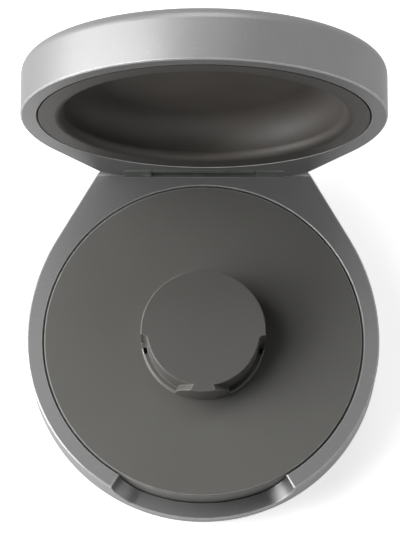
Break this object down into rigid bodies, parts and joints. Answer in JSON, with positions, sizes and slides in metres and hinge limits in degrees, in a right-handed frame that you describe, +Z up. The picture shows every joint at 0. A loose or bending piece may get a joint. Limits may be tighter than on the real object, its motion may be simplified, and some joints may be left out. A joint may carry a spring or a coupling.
{
  "type": "wet palette",
  "caption": "Round hinged metal palette case: a mixing plate with a central grip hub over a foam-filled water tray, thumb notch in the rim, and a lid with a moulded bowl liner.",
  "frame": {"origin": "centre of the foot pad's underside, on the round case's centre line, where the palette stands on a table", "axes": "+Z up, +Y from the thumb notch towards the hinge, +X to the right of someone facing the notch"},
  "size_m": [0.1, 0.1138, 0.1186],
  "materials": {
    "case_metal": "satin, bead blasted and anodised",
    "hinge_metal": "satin",
    "plated_steel": "plated",
    "plate_plastic": "fine satin, permeable",
    "hub_plastic": "satin",
    "tray_plastic": "matte",
    "washer_plastic": "matte",
    "liner_rubber": "soft satin",
    "seal_rubber": "matte",
    "foot_rubber": "matte",
    "foam": "open-cell foam",
    "bond": "matte"
  },
  "bodies": {
    "base": {"base_shell": "case_metal", "foot_pad": "foot_rubber", "water_tray": "tray_plastic", "hydration_sponge": "foam", "plate_gasket": "seal_rubber", "palette_plate": "plate_plastic", "hub": "hub_plastic", "hub_o_ring": "seal_rubber", "hub_nut": "tray_plastic", "base_magnets": "plated_steel", "hinge_base_leaf": "hinge_metal", "hinge_base_screws": "plated_steel", "hinge_pin": "plated_steel", "hinge_washers": "washer_plastic"},
    "lid": {"lid_shell": "case_metal", "lid_liner": "liner_rubber", "liner_adhesive": "bond", "lid_magnets": "plated_steel", "hinge_lid_leaf": "hinge_metal", "hinge_lid_screws": "plated_steel"}
  },
  "joints": [
    {"name": "lid_hinge", "type": "hinge", "parent": "base", "child": "lid", "pos_m": [0, 0.0507, 0.0179], "axis": [1, 0, 0], "range_deg": [0, 90]}
  ]
}
